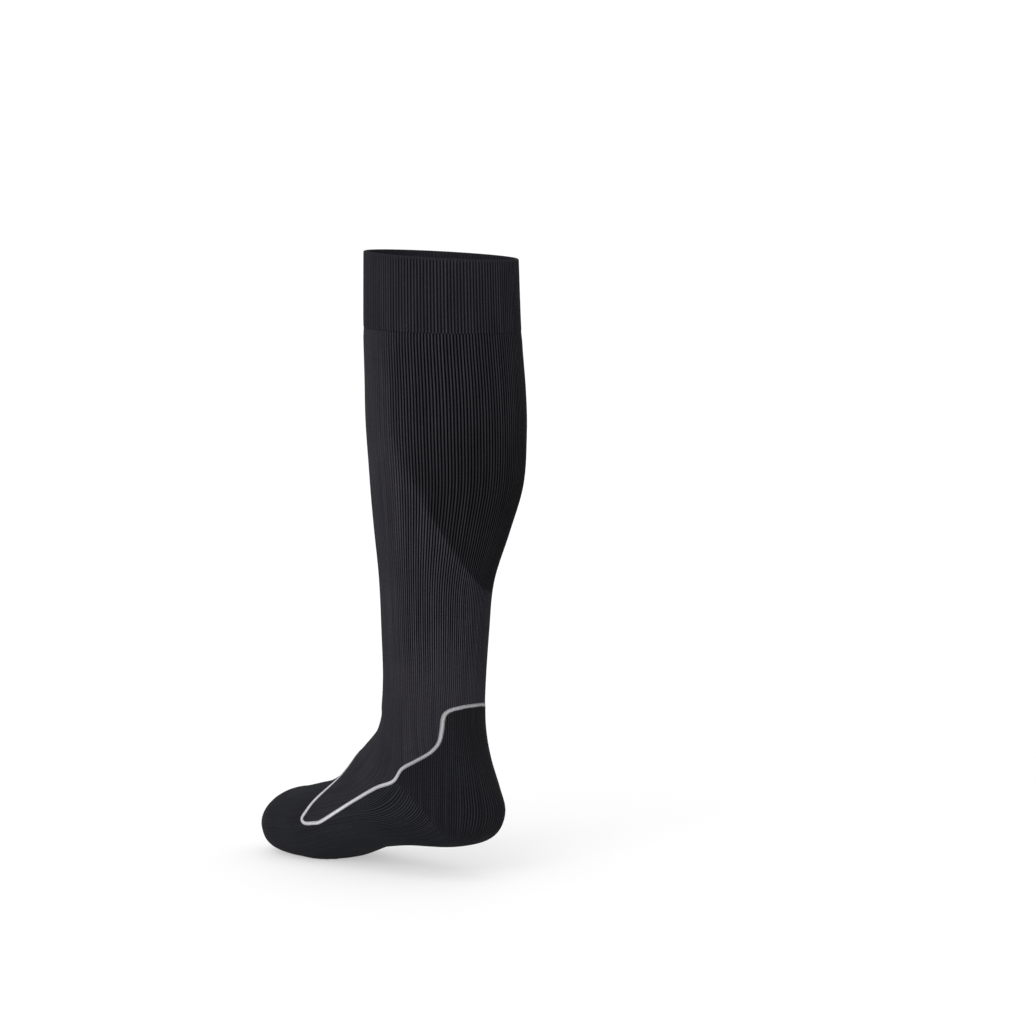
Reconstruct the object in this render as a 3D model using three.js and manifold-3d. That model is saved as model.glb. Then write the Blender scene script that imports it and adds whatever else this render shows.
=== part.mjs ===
// Knee-high compression stocking, worn, shaped for a left foot with its heel a little raised
// Millimetres, +Z up, toes toward -Y, the outer side of the leg toward +X
// The origin is on the leg's axis near the middle of the top band, where the leg holds it up

import * as THREE from 'three';
import { mergeVertices } from 'three/addons/utils/BufferGeometryUtils.js';
import Module from 'manifold-3d';

const wasm = await Module();
wasm.setup();

// Cloth sizes
const RIB_COUNT = 150;
const RIB_DEPTH = 0.5;
const BAND_WALL = 2.4;
const LEG_WALL = 1.7;
const FOOT_WALL = 2.2;
const LINE_WIDTH = 2.6;
const LINE_PROUD = 0.2;
const SEAM_GAP = 0.3;

// Heights above the floor
const GRIP_HEIGHT = 408;
const FLOOR_HEIGHT = 0;

// Points round each loop: two for each rib, and fewer where the knit is plain
const RIBBED_POINTS = RIB_COUNT * 2;
const PLAIN_POINTS = RIBBED_POINTS / 5;

// Sections from the rim to the toe base, each a loop that leans from upright leg to forefoot
// Front and back are its ends in side view, middle its sideways shift, outer and inner its
// half widths, sole is 2 for an ellipse and more for a flatter underside, and rise is how far
// the outer side stands above the middle
const SECTION_COLUMNS = [
  'frontY', 'frontZ', 'backY', 'backZ', 'middle', 'outer', 'inner', 'sole', 'rise',
];
const SECTIONS = {
  rim: [-54.8, 433.9, 54.8, 430.3, 0, 52.6, 52.6, 2, 2],
  bandFoot: [-54.5, 381.4, 57, 380.1, 0, 53.6, 53.6, 2, 0.6],
  upperCalf: [-53.2, 345.5, 61, 338.5, 0, 54.5, 54.5, 2, 0],
  calf: [-52.2, 313.5, 62.2, 307.5, 0, 54.4, 54.4, 2, 0],
  lowerCalf: [-49.8, 278, 60.3, 273.5, 0, 51.7, 51.7, 2, 0],
  calfEnd: [-48.4, 242, 49.8, 239.3, 0, 44.9, 44.9, 2, 0],
  shin: [-46.6, 206.5, 38.2, 205, 0, 37.3, 37.3, 2, 0],
  lowShin: [-45.8, 171, 34.9, 170.6, 0, 34.4, 34.4, 2, 0],
  ankle: [-45.1, 139.5, 32.8, 139.5, 0, 32, 32, 2, 0],
  heelTop: [-46.1, 118, 32, 116, 0, 32.4, 31.8, 2, 0],
  instepTop: [-47.3, 107.5, 33.9, 98, 0, 32.7, 31.4, 2, 0],
  instepHigh: [-52, 99.3, 39.5, 79, 0, 33, 31.2, 2, 0],
  heelBack: [-60, 92.3, 47.2, 59.3, -1, 33.4, 31.6, 2, 0],
  heelFull: [-68.6, 85.3, 50.6, 43.4, -2.1, 34.2, 32.5, 2.1, 0],
  heelUnder: [-76.8, 78.4, 39.4, 28, -3.6, 36, 33, 2.3, 0],
  archBack: [-84.5, 70.3, 14, 20, -5.3, 37.9, 34.2, 2.4, 0],
  arch: [-93.5, 62.5, -30.2, 16.6, -8, 40.2, 36.8, 2.5, 0],
  archFront: [-107, 56.2, -68.5, 10, -11.2, 43.3, 40.2, 2.6, 0],
  ball: [-124.6, 51.8, -101.7, -0.8, -14.2, 45, 43.3, 2.6, 0],
  toeBase: [-143.3, 47.2, -128.9, -1.8, -17, 43, 43.3, 2.6, 0],
};

// The toe cap
const TOE_TIP = { x: -24, y: -179.5, z: 13 };
const TOE_STEPS = 5;
const TOE_ROUNDNESS = 1.8;
const TOE_DROP = 1.6;

// Edge between leg and foot, from behind the heel to above the instep
// It is an outline in side view, toward the heel and up, the same on both sides of the foot
const FOOT_EDGE = [
  { toHeel: 75, up: 122 },
  { toHeel: 45, up: 121.6 },
  { toHeel: 34, up: 120.9 },
  { toHeel: 28, up: 119.3 },
  { toHeel: 23.8, up: 116.8 },
  { toHeel: 22, up: 112.5 },
  { toHeel: 21.6, up: 104.5 },
  { toHeel: 20.8, up: 96.5 },
  { toHeel: 18.2, up: 91.3 },
  { toHeel: 13.5, up: 87 },
  { toHeel: 4.4, up: 81.8 },
  { toHeel: -7.5, up: 75.6 },
  { toHeel: -13.5, up: 68.5 },
  { toHeel: -19, up: 64.8 },
  { toHeel: -33.2, up: 60 },
  { toHeel: -52.3, up: 50.2 },
  { toHeel: -69.9, up: 40.2 },
  { toHeel: -85.6, up: 31.4 },
  { toHeel: -93, up: 29.6 },
  { toHeel: -101.5, up: 28.8 },
  { toHeel: -104.6, up: 31.8 },
  { toHeel: -101.6, up: 37.2 },
  { toHeel: -97, up: 45 },
  { toHeel: -88, up: 57 },
  { toHeel: -72, up: 80 },
];

// Edge of the calf panel, from in front of the band to below the calf
// Its side view is turned, so that the panel hangs lowest on the inner side of the calf
const PANEL_TURN = 40;
const PANEL_EDGE = [
  { toHeel: -41, up: 400 },
  { toHeel: -41, up: 345 },
  { toHeel: -31, up: 313 },
  { toHeel: -18, up: 283 },
  { toHeel: -5, up: 256 },
  { toHeel: 12, up: 228 },
  { toHeel: 26.5, up: 207 },
  { toHeel: 36, up: 198.5 },
  { toHeel: 60, up: 194 },
];

// Steps along a cut edge, how far the cutters reach, and what counts as flat
const EDGE_STEPS = 48;
const CUT_REACH = 120;
const CUT_FAR = 260;
const STATION_STEP = 0.02;
const FLATNESS = 0.03;

// Colour and roughness of each knit
const KNITS = {
  top_band: { color: 0x2a292e, roughness: 0.85 },
  calf_panel: { color: 0x161618, roughness: 0.85 },
  leg: { color: 0x2d2b30, roughness: 0.85 },
  contour_line: { color: 0xaaa8ab, roughness: 0.8 },
  foot: { color: 0x1d1f22, roughness: 0.9 },
};

const sectionNames = Object.keys(SECTIONS);
const sectionRows = [...Object.values(SECTIONS), ...toeRows()];
const sectionCurve = new THREE.CubicInterpolant(
  sectionRows.map((row, index) => index),
  sectionRows.flat(),
  SECTION_COLUMNS.length,
);
const lastStation = sectionRows.length - 1;

// The station of a section is its place in the table, and stations between are blended
function stationOf(name) {
  return sectionNames.indexOf(name);
}

// The toe cap: the toe base shrinks toward the tip in a rounded profile
function toeRows() {
  const [frontY, frontZ, backY, backZ, middle, outer, inner, sole, rise] = SECTIONS.toeBase;
  const rows = [];
  for (let step = 1; step <= TOE_STEPS; step += 1) {
    const along = Math.sin((step / (TOE_STEPS + 1)) * (Math.PI / 2));
    const width = Math.sqrt(1 - along ** TOE_ROUNDNESS);
    const x = THREE.MathUtils.lerp(middle, TOE_TIP.x, along);
    const y = THREE.MathUtils.lerp((frontY + backY) / 2, TOE_TIP.y, along);
    const z = THREE.MathUtils.lerp((frontZ + backZ) / 2, TOE_TIP.z, along ** TOE_DROP);
    const halfY = ((frontY - backY) / 2) * width;
    const halfZ = ((frontZ - backZ) / 2) * width;
    const ends = [y + halfY, z + halfZ, y - halfY, z - halfZ];
    rows.push([...ends, x, outer * width, inner * width, sole, rise]);
  }
  return rows;
}

// A point of the cloth's outer face; angle 0 is the front, a quarter turn the outer side
function facePoint(station, angle) {
  const section = sectionCurve.evaluate(station);
  const [frontY, frontZ, backY, backZ, middle, outer, inner, sole, rise] = section;
  const front = Math.cos(angle);
  const side = Math.sin(angle);
  const power = front < 0 ? 2 / sole : 1;
  const along = Math.sign(front) * Math.abs(front) ** power;
  const across = Math.sign(side) * Math.abs(side) ** power;
  const x = middle + across * (side > 0 ? outer : inner);
  const y = (frontY + backY) / 2 + (along * (frontY - backY)) / 2;
  const z = (frontZ + backZ) / 2 + (along * (frontZ - backZ)) / 2 + across * rise;
  return new THREE.Vector3(x, y, Math.max(z, FLOOR_HEIGHT));
}

// The outward direction there, square to two short steps on the face
function faceNormal(station, angle) {
  const before = Math.max(station - STATION_STEP, 0);
  const after = Math.min(station + STATION_STEP, lastStation);
  const down = facePoint(after, angle).sub(facePoint(before, angle));
  const round = facePoint(station, angle + STATION_STEP).sub(facePoint(station, angle - STATION_STEP));
  return down.cross(round).normalize();
}

// One closed loop of points round a section, each moved out by its own height
function loop(station, count, heightOf) {
  const points = [];
  for (let index = 0; index < count; index += 1) {
    const angle = (index / count) * Math.PI * 2;
    const point = facePoint(station, angle);
    points.push(point.addScaledVector(faceNormal(station, angle), heightOf(index)));
  }
  return points;
}

function ribbedLoop(station) {
  return loop(station, RIBBED_POINTS, (index) => (index % 2 === 0 ? 0 : -RIB_DEPTH));
}

function plainLoop(station, height) {
  return loop(station, PLAIN_POINTS, () => height);
}

// A solid from chains of loops; each chain is skinned from loop to loop
function skinned(chains) {
  const positions = [];
  const faces = [];
  const starts = new Map();
  for (const ring of new Set(chains.flat())) {
    starts.set(ring, positions.length / 3);
    ring.forEach((point) => positions.push(...point.toArray()));
  }
  for (const chain of chains) {
    for (let index = 1; index < chain.length; index += 1) {
      joinLoops(faces, starts, chain[index - 1], chain[index]);
    }
  }
  return solidFrom(positions, faces);
}

// Triangles between two loops, whose point counts may differ; a tip is a loop of one point
function joinLoops(faces, starts, first, second) {
  const steps = Math.max(first.length, second.length);
  const place = (ring, step) => {
    return starts.get(ring) + (Math.round((step * ring.length) / steps) % ring.length);
  };
  for (let step = 0; step < steps; step += 1) {
    const a = place(first, step);
    const b = place(first, step + 1);
    const c = place(second, step);
    const d = place(second, step + 1);
    if (a !== b) {
      faces.push(a, c, b);
    }
    if (c !== d) {
      faces.push(b, c, d);
    }
  }
}

function solidFrom(positions, faces) {
  return new wasm.Manifold(new wasm.Mesh({
    numProp: 3,
    vertProperties: new Float32Array(positions),
    triVerts: new Uint32Array(faces),
  }));
}

// A tube of cloth: outer loops down, inner loops back up, closed into one wall
function tube(outerLoops, innerLoops) {
  return skinned([[...outerLoops, ...[...innerLoops].reverse(), outerLoops[0]]]);
}

// The stations from one to another in whole steps, both ends included
function stations(from, to) {
  const inside = [];
  for (let station = Math.floor(from) + 1; station < to; station += 1) {
    inside.push(station);
  }
  return [from, ...inside, to];
}

function bandSolid() {
  const places = [stationOf('rim'), stationOf('bandFoot')];
  return tube(places.map(ribbedLoop), places.map((place) => plainLoop(place, -BAND_WALL)));
}

// The leg down to the toe base, ribbed to above the heel and plain over the foot
function legTube() {
  const bandSpacing = SECTIONS.bandFoot[1] - SECTIONS.upperCalf[1];
  const top = stationOf('bandFoot') + SEAM_GAP / bandSpacing;
  const ribbed = [...stations(top, stationOf('lowShin')), stationOf('heelTop')];
  const plain = stations(stationOf('instepTop'), stationOf('toeBase'));
  const outer = [...ribbed.map(ribbedLoop), ...plain.map((place) => plainLoop(place, 0))];
  return tube(outer, [...ribbed, ...plain].map((place) => plainLoop(place, -LEG_WALL)));
}

function lineTube() {
  const places = stations(stationOf('ankle'), stationOf('toeBase'));
  const outer = places.map((place) => plainLoop(place, LINE_PROUD));
  return tube(outer, places.map((place) => plainLoop(place, -LEG_WALL)));
}

// The foot from above the heel to the closed toe
function footShell() {
  const places = stations(stationOf('ankle'), lastStation);
  const outer = places.map((place) => plainLoop(place, 0));
  const inner = places.map((place) => plainLoop(place, -FOOT_WALL));
  const tip = new THREE.Vector3(TOE_TIP.x, TOE_TIP.y, TOE_TIP.z);
  const innerTip = tip.clone().add(new THREE.Vector3(0, FOOT_WALL, 0));
  return skinned([[[innerTip], ...inner.reverse(), ...outer, [tip]]]);
}

// The points of an edge in side view, moved sideways by a shift
function edgePoints(edge, shift) {
  const curve = new THREE.SplineCurve(edge.map(({ toHeel, up }) => new THREE.Vector2(toHeel, up)));
  const points = [];
  for (let step = 0; step <= EDGE_STEPS; step += 1) {
    const tangent = curve.getTangentAt(step / EDGE_STEPS);
    const side = new THREE.Vector2(tangent.y, -tangent.x);
    points.push(curve.getPointAt(step / EDGE_STEPS).addScaledVector(side, shift));
  }
  return points;
}

// A flat outline in side view, made solid right through the leg
function sidePrism(outline) {
  const depth = CUT_REACH * 2;
  const geometry = new THREE.ExtrudeGeometry(new THREE.Shape(outline), { depth, bevelEnabled: false });
  geometry.translate(0, 0, -CUT_REACH);
  const across = new THREE.Vector3(0, 1, 0);
  const up = new THREE.Vector3(0, 0, 1);
  geometry.applyMatrix4(new THREE.Matrix4().makeBasis(across, up, across.clone().cross(up)));
  geometry.deleteAttribute('normal');
  geometry.deleteAttribute('uv');
  const merged = mergeVertices(geometry);
  return solidFrom(merged.attributes.position.array, merged.index.array);
}

// All that lies below and in front of the foot edge, moved toward the leg by a shift
function footSide(shift) {
  const corners = [new THREE.Vector2(-CUT_FAR, CUT_FAR), new THREE.Vector2(-CUT_FAR, -CUT_FAR)];
  const behind = new THREE.Vector2(CUT_FAR, -CUT_FAR);
  return sidePrism([...edgePoints(FOOT_EDGE, shift), ...corners, behind]);
}

// All that lies behind and above the panel edge, moved toward the shin by a shift
function panelSide(shift) {
  const corners = [new THREE.Vector2(CUT_FAR, 0), new THREE.Vector2(CUT_FAR, CUT_FAR * 2)];
  return sidePrism([...edgePoints(PANEL_EDGE, shift), ...corners]).rotate([0, 0, PANEL_TURN]);
}

// A named mesh of one knit from its solid
function knitMesh(name, solid) {
  const mesh = solid.simplify(FLATNESS).getMesh();
  const geometry = new THREE.BufferGeometry();
  geometry.setAttribute('position', new THREE.BufferAttribute(mesh.vertProperties, 3));
  geometry.setIndex(new THREE.BufferAttribute(mesh.triVerts, 1));
  geometry.computeVertexNormals();
  const material = new THREE.MeshStandardMaterial({ ...KNITS[name], metalness: 0, name });
  const piece = new THREE.Mesh(geometry, material);
  piece.name = name;
  return piece;
}

const halfLine = LINE_WIDTH / 2;
const wholeLeg = legTube().subtract(footSide(halfLine + SEAM_GAP));

const stocking = new THREE.Group();
stocking.position.z = -GRIP_HEIGHT;
stocking.add(
  knitMesh('top_band', bandSolid()),
  knitMesh('calf_panel', wholeLeg.intersect(panelSide(0))),
  knitMesh('leg', wholeLeg.subtract(panelSide(SEAM_GAP))),
  knitMesh('contour_line', lineTube().intersect(footSide(halfLine)).subtract(footSide(-halfLine))),
  knitMesh('foot', footShell().intersect(footSide(-halfLine - SEAM_GAP))),
);

const group = new THREE.Group();
group.add(stocking);

export default group;
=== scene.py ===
"""A worn knee-high compression stocking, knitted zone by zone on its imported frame."""

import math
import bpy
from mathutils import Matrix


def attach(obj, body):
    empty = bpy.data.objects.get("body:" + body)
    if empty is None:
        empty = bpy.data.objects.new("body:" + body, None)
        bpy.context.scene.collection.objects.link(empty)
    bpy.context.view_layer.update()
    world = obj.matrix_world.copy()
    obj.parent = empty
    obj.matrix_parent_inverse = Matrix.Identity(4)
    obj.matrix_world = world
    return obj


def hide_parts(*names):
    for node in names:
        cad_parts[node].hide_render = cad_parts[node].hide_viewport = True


bl_info = {
    "name": "Compression stocking",
    "version": (1, 0, 0),
    "blender": (4, 5, 0),
    "location": "3D View > Sidebar > Stocking",
    "description": "Knits a worn compression stocking zone by zone and sets up its studio",
    "category": "Add Mesh",
}

import bpy
import numpy as np
from bpy.props import FloatProperty, FloatVectorProperty, IntProperty, PointerProperty
from bpy.types import Operator, Panel, PropertyGroup
from mathutils import Vector

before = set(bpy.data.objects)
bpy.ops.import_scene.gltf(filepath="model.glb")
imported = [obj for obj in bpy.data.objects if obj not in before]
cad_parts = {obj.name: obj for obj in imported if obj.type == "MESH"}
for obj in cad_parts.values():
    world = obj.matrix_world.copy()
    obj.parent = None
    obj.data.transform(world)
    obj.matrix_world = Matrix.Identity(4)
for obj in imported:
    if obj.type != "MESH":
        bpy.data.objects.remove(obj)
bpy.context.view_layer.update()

# The worn form in millimetres. Heights are above the floor, and the frame's origin is
# GRIP_HEIGHT above it. Each section is a loop that leans from upright leg to forefoot:
# the y and z of its front and back ends, its sideways shift, its half widths on the outer
# and inner side, the flatness of its underside, 2 for an ellipse, and how far the outer side
# stands above the middle
MILLIMETRE = 0.001
GRIP_HEIGHT = 408.0
SECTIONS = {
    "rim": (-54.8, 433.9, 54.8, 430.3, 0, 52.6, 52.6, 2, 2),
    "band_foot": (-54.5, 381.4, 57, 380.1, 0, 53.6, 53.6, 2, 0.6),
    "upper_calf": (-53.2, 345.5, 61, 338.5, 0, 54.5, 54.5, 2, 0),
    "calf": (-52.2, 313.5, 62.2, 307.5, 0, 54.4, 54.4, 2, 0),
    "lower_calf": (-49.8, 278, 60.3, 273.5, 0, 51.7, 51.7, 2, 0),
    "calf_end": (-48.4, 242, 49.8, 239.3, 0, 44.9, 44.9, 2, 0),
    "shin": (-46.6, 206.5, 38.2, 205, 0, 37.3, 37.3, 2, 0),
    "low_shin": (-45.8, 171, 34.9, 170.6, 0, 34.4, 34.4, 2, 0),
    "ankle": (-45.1, 139.5, 32.8, 139.5, 0, 32, 32, 2, 0),
    "heel_top": (-46.1, 118, 32, 116, 0, 32.4, 31.8, 2, 0),
    "instep_top": (-47.3, 107.5, 33.9, 98, 0, 32.7, 31.4, 2, 0),
    "instep_high": (-52, 99.3, 39.5, 79, 0, 33, 31.2, 2, 0),
    "heel_back": (-60, 92.3, 47.2, 59.3, -1, 33.4, 31.6, 2, 0),
    "heel_full": (-68.6, 85.3, 50.6, 43.4, -2.1, 34.2, 32.5, 2.1, 0),
    "heel_under": (-76.8, 78.4, 39.4, 28, -3.6, 36, 33, 2.3, 0),
    "arch_back": (-84.5, 70.3, 14, 20, -5.3, 37.9, 34.2, 2.4, 0),
    "arch": (-93.5, 62.5, -30.2, 16.6, -8, 40.2, 36.8, 2.5, 0),
    "arch_front": (-107, 56.2, -68.5, 10, -11.2, 43.3, 40.2, 2.6, 0),
    "ball": (-124.6, 51.8, -101.7, -0.8, -14.2, 45, 43.3, 2.6, 0),
    "toe_base": (-143.3, 47.2, -128.9, -1.8, -17, 43, 43.3, 2.6, 0),
}
SECTION_NAMES = tuple(SECTIONS)

# The toe cap
TOE_TIP = (-24.0, -179.5, 13.0)
TOE_STEPS = 5
TOE_ROUNDNESS = 1.8
TOE_DROP = 1.6

# Edge between leg and foot, and of the calf panel: toward the heel and up, in side view
FOOT_EDGE = (
    (75, 122), (45, 121.6), (34, 120.9), (28, 119.3), (23.8, 116.8), (22, 112.5),
    (21.6, 104.5), (20.8, 96.5), (18.2, 91.3), (13.5, 87), (4.4, 81.8), (-7.5, 75.6),
    (-13.5, 68.5), (-19, 64.8), (-33.2, 60), (-52.3, 50.2), (-69.9, 40.2), (-85.6, 31.4),
    (-93, 29.6), (-101.5, 28.8), (-104.6, 31.8), (-101.6, 37.2), (-97, 45), (-88, 57),
    (-72, 80),
)
FOOT_CORNERS = ((-260, 260), (-260, -260), (260, -260))
PANEL_EDGE = (
    (-41, 400), (-41, 345), (-31, 313), (-18, 283), (-5, 256), (12, 228), (26.5, 207),
    (36, 198.5), (60, 194),
)
PANEL_CORNERS = ((260, 0), (260, 520))
PANEL_TURN = math.radians(40)
EDGE_STEPS = 14

# Edge of the heel pocket, whose rows of stitches run upright round a line through the heel
POCKET_EDGE = (
    (-15, 200), (-14, 90), (-13.5, 68.5), (0, 57.5), (15, 43.5), (26, 31), (44, 24), (80, 21),
)
POCKET_CORNERS = ((260, 21), (260, 200))
POCKET_MIDDLE = (0.0, 8.0)
POCKET_BLEND = 1.5

# How finely the cloth is drawn: points to a rib, and millimetres from ring to ring
BAND_POINTS = 6
LEG_POINTS = 5
FOOT_POINTS = 3
BAND_SPACING = 3.4
LEG_SPACING = 7.0
PANEL_EDGE_SPACING = 2.5
INSTEP_SPACING = 2.8
FOOT_SPACING = 3.5
LINE_SPACING = 1.5

# Where that spacing is measured, as shares of a turn from the front: all round, or above only
QUARTER_TURNS = (0, 0.25, 0.5, 0.75)
UPPER_TURNS = (0, 0.25, 0.75)

# Where the rings along the panel's edge end, and where the foot's and the line's start: a
# section, and a share of the way to the next one
PANEL_END = ("shin", 0.5)
FOOT_START = ("ankle", 0.4)

# Steps and limits used to work out slopes, even rings, cuts, welds and sharp edges
SLOPE_STEP = 0.02
FINE_STATIONS = 1200
SMALLEST = 1e-9
CLEAR_OF_CUT = 0.02
WELDS_TO_MILLIMETRE = 10000
SHARP_ANGLE = math.radians(80)

# Half the gap left between two zones, and how far apart the two sections under the band are,
# in millimetres
SEAM = 0.05
UNDER_BAND = 40

# Close rings at the rim and at the band's foot, in millimetres from each, and the rim's radius
RIM_RINGS = (0, 0.1, 0.3, 0.6, 1.0, 1.5, 2.2)
BAND_FOOT_RINGS = (1.6, 0.7, SEAM)
RIM_ROUNDING = 1.1

# How far band and leg turn in where they meet, and how far from there each starts to
TURNED_IN = 0.35
BAND_TURN_REACH = 1.0
LEG_TURN_REACH = 1.6

# How far a groove reaches from its middle, as a share of the rib, and how sharply it deepens
GROOVE_REACH = 0.36
GROOVE_POWER = 1.3

# Below, a pair of numbers is the range over which one look or form changes into another: in
# millimetres, or where it says so in cosines of the turn, 1 at the front and -1 at the back

# Strength of the grooves, 1 where they are full: it sets the painted shade in them, and on band
# and leg also their depth.
# They fade toward the front, in cosines, the band's also toward its rim, and the leg's down to the
# instep
BAND_FRONT = (-0.3, 0.7)
BAND_FRONT_LESS = 0.6
BAND_RIM_REACH = (0.4, 2.4)
BAND_LEAST = 0.1
BAND_MORE = 0.75
LEG_FRONT = (-0.25, 0.35)
LEG_FRONT_LESS = 0.72
LEG_FADE_HEIGHTS = (90, 185)
LEG_LEAST = 0.4
LINE_EDGE_PAINTED_SHADE = 0.7

# Unevenness of worn cloth: its height and the two lengths of its slow waves, in millimetres,
# and the share of it that the inner face has
LEG_WAVES = (0.12, 13, 37)
FOOT_WAVES = (0.14, 15, 41)
INSIDE_SHARE = 0.5

# Creases in front, in cosines, where the ankle bends: height, depth, and how much higher each
# lies at the sides. Each has a soft fold above it
CREASES = ((121, 0.16, 5), (109, 0.22, 9), (97, 0.16, 12))
CREASE_FRONT = (0.1, 0.9)
CREASE_WIDTH = 2.6
FOLD_ABOVE = 5
FOLD_WIDTH = 3.2
FOLD_SHARE = 0.6

# The calf panel changes into the leg within a width that grows upward. It is lighter toward the
# band, partly in its own yarn and partly by painted light, and it is lighter along its edge by
# painted shade that deepens toward its back, turned from the key light
PANEL_CHANGE = 0.7
PANEL_CHANGE_MORE = 20
PANEL_CHANGE_HEIGHTS = (232, 345)
PANEL_CHANGE_OUT = 0.7
PANEL_CHANGE_IN = 0.8
PANEL_UPPER_YARN_AND_PAINTED_LIGHT = 0.5
PANEL_UPPER_YARN_AND_PAINTED_LIGHT_HEIGHTS = (245, 370)
PANEL_BACK_PAINTED_SHADE = 0.2
PANEL_BACK_PAINTED_SHADE_REACH = (10, 60)

# Painted shade on the instep, which faces up into the light: it is darker than the leg by this
# share of the way to the panel's colour
INSTEP_PAINTED_SHADE = 0.22
INSTEP_PAINTED_SHADE_HEIGHTS = (128, 90)

# Foot: almost plain ahead, stronger grooves in the gore, and in the darker heel pocket upright
# grooves of painted shade only, with no depth
TOE_ALONG = (-120, -150)
GORE_ALONG = (-72, -22)
GORE_TOP = (70, 58)
GORE_BOTTOM = (14, 30)
POCKET_BOTTOM = (22, 34)
PLAIN_GROOVE = 0.22
GORE_GROOVE = 0.5
TOE_LESS = 0.1
POCKET_PAINTED_GROOVE_SHADE = 0.72
POCKET_DARKER = 0.6

# The foot's cushion at heel and sole, in cosines. In sections: how far past the toe base the
# seam across the toes lies, its width, and how far before the tip all relief starts to fade
CUSHION = 0.25
CUSHION_BACK = (0.2, 0.9)
TOE_SEAM_DEPTH = 0.3
TOE_SEAM_PLACE = 0.2
TOE_SEAM_WIDTH = 0.035
TIP_FADE = 0.5

# The contour line turns darker round the heel. It is drawn wider at first, and then cut
LINE_DARK_HEIGHTS = (68, 86)
LINE_SPARE = 2

# Each knit's loop height in millimetres, the share of light that the painted shade takes from a
# full groove, the depth of its loops in metres, its roughness and its sheen
KNITS = {
    "band_knit": (0.95, 0.95, 0.00014, 0.9, 0.006),
    "panel_knit": (0.9, 1.0, 0.00016, 0.9, 0.005),
    "leg_knit": (0.9, 1.0, 0.00014, 0.9, 0.006),
    "line_knit": (1.3, 0.6, 0.0002, 0.85, 0.02),
    "foot_knit": (0.85, 1.0, 0.00013, 0.92, 0.008),
}

# How much lighter the ribs are painted where the grooves are full, a painted highlight that
# balances the painted groove shade;
# where a rib's crest rises between its edge and its middle at 0.5; and how the loops on it slant,
# round off and take painted shade between them
RIB_PAINTED_HIGHLIGHT = 0.85
CREST = (0.1, 0.42)
LOOP_SLANT = 1.1
LOOP_ROUND = (0.1, 0.9)
LOOP_PAINTED_SHADE = 0.16

# Uneven yarn: streaks along the ribs, broad patches and single fibres. Each is a noise whose
# middle values, NOISE_SPREAD, are moved to a range of light
NOISE_SPREAD = (0.3, 0.7)
STREAK_STRETCH = (1.7, 0.012, 1.0)
STREAK_LIGHT = (0.8, 1.2)
PATCH_SCALE = 28.0
PATCH_LIGHT = (0.93, 1.07)
FIBRE_SCALE = 1500.0
FIBRE_LIGHT = (0.8, 1.2)

# The nap's noise and bumps, with their depth in metres, the loops' bumps, and the yarn's gloss
NAP_SCALE = 2600.0
NAP_STRENGTH = 0.5
NAP_DEPTH = 0.00012
LOOP_STRENGTH = 0.8
ROUGHNESS_SPREAD = 0.06
SHEEN_ROUGHNESS = 0.45
YARN_SPECULAR = 0.03

# The camera aims at the shin, whose height above the floor is in metres. Its picture is then
# shifted right and up, in pixels of a picture PICTURE_WIDTH wide. SENSOR_WIDTH is in
# millimetres, and FARTHEST in metres
SHIN_HEIGHT = 0.2225
PICTURE_WIDTH = 1036
SHIFT_RIGHT = 77
SHIFT_UP = 38
SENSOR_WIDTH = 36.0
FARTHEST = 200.0

# The floor's reach to each side and its drop under the foot, in metres, and its finish
FLOOR_REACH = 60.0
FLOOR_DROP = 0.0003
FLOOR_ROUGHNESS = 0.7
FLOOR_SPECULAR = 0.1
FLOOR_GLOW = 0.455

# Each light's strength, softness in degrees, and where it comes from
LIGHTS = {
    "key": (3.5, 50, (0.92, 0.38, 0.3)),
    "top": (0.1, 60, (0.1, 0.2, 1.0)),
}


class StockingSizes(PropertyGroup):
    """Sizes of the knit."""

    band_ribs: IntProperty(
        name="Band ribs", description="Ribs round the top band", default=146, min=60, max=200
    )
    leg_ribs: IntProperty(
        name="Leg ribs", description="Ribs round the leg and calf panel",
        default=150, min=60, max=200,
    )
    foot_wales: IntProperty(
        name="Foot wales", description="Rows of stitches round the foot",
        default=190, min=60, max=240,
    )
    pocket_wales: IntProperty(
        name="Heel wales", description="Upright rows of stitches round the heel",
        default=128, min=60, max=240,
    )
    rib_depth: FloatProperty(
        name="Rib depth", description="Depth of the grooves between ribs",
        default=0.00046, min=0.0, max=0.001, unit="LENGTH", precision=5,
    )
    band_wall: FloatProperty(
        name="Band thickness", description="Thickness of the double top band",
        default=0.0024, min=0.001, max=0.003, unit="LENGTH", precision=5,
    )
    leg_wall: FloatProperty(
        name="Leg thickness", description="Thickness of the leg and calf panel",
        default=0.0017, min=0.001, max=0.003, unit="LENGTH", precision=5,
    )
    foot_wall: FloatProperty(
        name="Foot thickness", description="Thickness of the cushioned foot",
        default=0.0022, min=0.001, max=0.003, unit="LENGTH", precision=5,
    )
    line_width: FloatProperty(
        name="Line width", description="Width of the light contour line",
        default=0.0026, min=0.002, max=0.006, unit="LENGTH", precision=5,
    )
    line_height: FloatProperty(
        name="Line height", description="How proud the middle of the contour line stands",
        default=0.00035, min=0.0, max=0.001, unit="LENGTH", precision=5,
    )


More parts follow.
